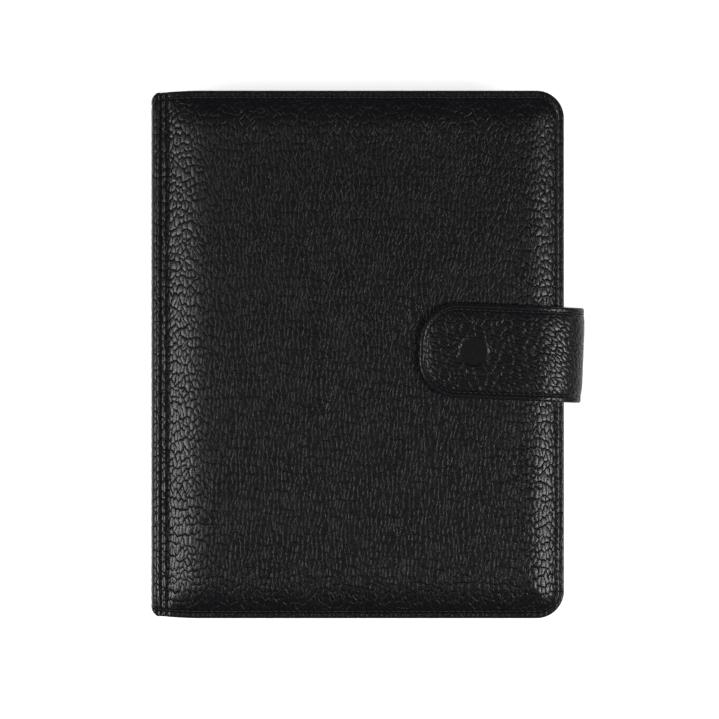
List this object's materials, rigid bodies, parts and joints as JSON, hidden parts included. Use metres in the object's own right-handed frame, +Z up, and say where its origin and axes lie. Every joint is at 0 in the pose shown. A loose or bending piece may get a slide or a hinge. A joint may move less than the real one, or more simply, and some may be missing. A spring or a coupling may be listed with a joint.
{
  "type": "leather notebook cover",
  "caption": "Closed ring-binder organiser cover in black pebbled leather, with a round-ended strap snapping over the fore edge and a ring mechanism on the spine.",
  "frame": {"origin": "middle of the back cover's outer face, on the surface the closed cover lies on", "axes": "+X from the spine to the fore edge, +Y along the spine towards the top edge, +Z up through the closed cover to the front"},
  "size_m": [0.1896, 0.23, 0.0465],
  "materials": {
    "pebbled_leather": "pebble-grained, semi-gloss black",
    "smooth_leather": "fine-grained, matt black",
    "core_leather": "undyed split leather",
    "padding_felt": "soft needled felt",
    "stiff_board": "grey bookbinding board",
    "nickel_steel": "bright nickel plate",
    "nickel_brass": "nickel-plated brass"
  },
  "bodies": {
    "back_cover": {"back_leather": "pebbled_leather", "back_padding": "padding_felt", "back_board": "stiff_board", "back_lining": "smooth_leather", "notepad_pocket": "smooth_leather", "pen_loop": "smooth_leather", "strap_root_outer": "pebbled_leather", "strap_root_core": "core_leather", "strap_root_lining": "smooth_leather"},
    "spine": {"spine_leather": "pebbled_leather", "spine_board": "stiff_board", "spine_lining": "smooth_leather", "ring_base_plate": "nickel_steel", "spine_rivets": "nickel_steel", "lever_pins": "nickel_steel"},
    "front_cover": {"front_leather": "pebbled_leather", "front_padding": "padding_felt", "front_board": "stiff_board", "front_lining": "smooth_leather", "slip_pocket": "smooth_leather", "card_pocket_1": "smooth_leather", "card_pocket_2": "smooth_leather", "card_pocket_3": "smooth_leather", "card_pocket_4": "smooth_leather", "snap_stud": "nickel_brass", "snap_post": "nickel_brass"},
    "front_rings": {"front_blade": "nickel_steel", "front_ring_1": "nickel_steel", "front_ring_2": "nickel_steel", "front_ring_3": "nickel_steel", "front_ring_4": "nickel_steel", "front_ring_5": "nickel_steel", "front_ring_6": "nickel_steel"},
    "back_rings": {"back_blade": "nickel_steel", "back_ring_1": "nickel_steel", "back_ring_2": "nickel_steel", "back_ring_3": "nickel_steel", "back_ring_4": "nickel_steel", "back_ring_5": "nickel_steel", "back_ring_6": "nickel_steel"},
    "top_lever": {"top_lever": "nickel_steel"},
    "bottom_lever": {"bottom_lever": "nickel_steel"},
    "strap_side": {"strap_side_outer": "pebbled_leather", "strap_side_core": "core_leather", "strap_side_lining": "smooth_leather"},
    "strap_tongue": {"strap_tongue_outer": "pebbled_leather", "strap_tongue_core": "core_leather", "strap_tongue_lining": "smooth_leather", "snap_cap": "nickel_brass", "snap_socket": "nickel_brass"}
  },
  "joints": [
    {"name": "spine_fold", "type": "hinge", "parent": "back_cover", "child": "spine", "pos_m": [-0.085, 0, 0.005], "axis": [0, -1, 0], "range_deg": [0, 90]},
    {"name": "front_fold", "type": "hinge", "parent": "spine", "child": "front_cover", "pos_m": [-0.085, 0, 0.037], "axis": [0, -1, 0], "range_deg": [0, 90], "deforming": ["strap_tongue_outer", "strap_tongue_core", "strap_tongue_lining", "snap_cap", "snap_socket"]},
    {"name": "ring_opening", "type": "hinge", "parent": "spine", "child": "front_rings", "pos_m": [-0.0846, 0, 0.0283], "axis": [0, -1, 0], "range_deg": [0, 10]},
    {"name": "back_ring_opening", "type": "hinge", "parent": "spine", "child": "back_rings", "pos_m": [-0.0846, 0, 0.0137], "axis": [0, 1, 0], "range_deg": [0, 10]},
    {"name": "top_lever_turn", "type": "hinge", "parent": "spine", "child": "top_lever", "pos_m": [-0.0836, 0.0944, 0.021], "axis": [0, 0, 1], "range_deg": [0, 14]},
    {"name": "bottom_lever_turn", "type": "hinge", "parent": "spine", "child": "bottom_lever", "pos_m": [-0.0836, -0.0944, 0.021], "axis": [0, 0, -1], "range_deg": [0, 14]},
    {"name": "strap_swing", "type": "hinge", "parent": "back_cover", "child": "strap_side", "pos_m": [0.09642, -0.00042, 0.00454], "axis": [0.0384, 0.9993, 0], "range_deg": [0, 90]},
    {"name": "strap_lift", "type": "hinge", "parent": "strap_side", "child": "strap_tongue", "pos_m": [0.09525, -0.00038, 0.04299], "axis": [0.0384, 0.9993, 0], "range_deg": [0, 90]}
  ],
  "couplings": [
    {"joint": "back_ring_opening", "follows": "ring_opening", "ratio": 1},
    {"joint": "top_lever_turn", "follows": "ring_opening", "ratio": 1.4},
    {"joint": "bottom_lever_turn", "follows": "ring_opening", "ratio": 1.4}
  ]
}
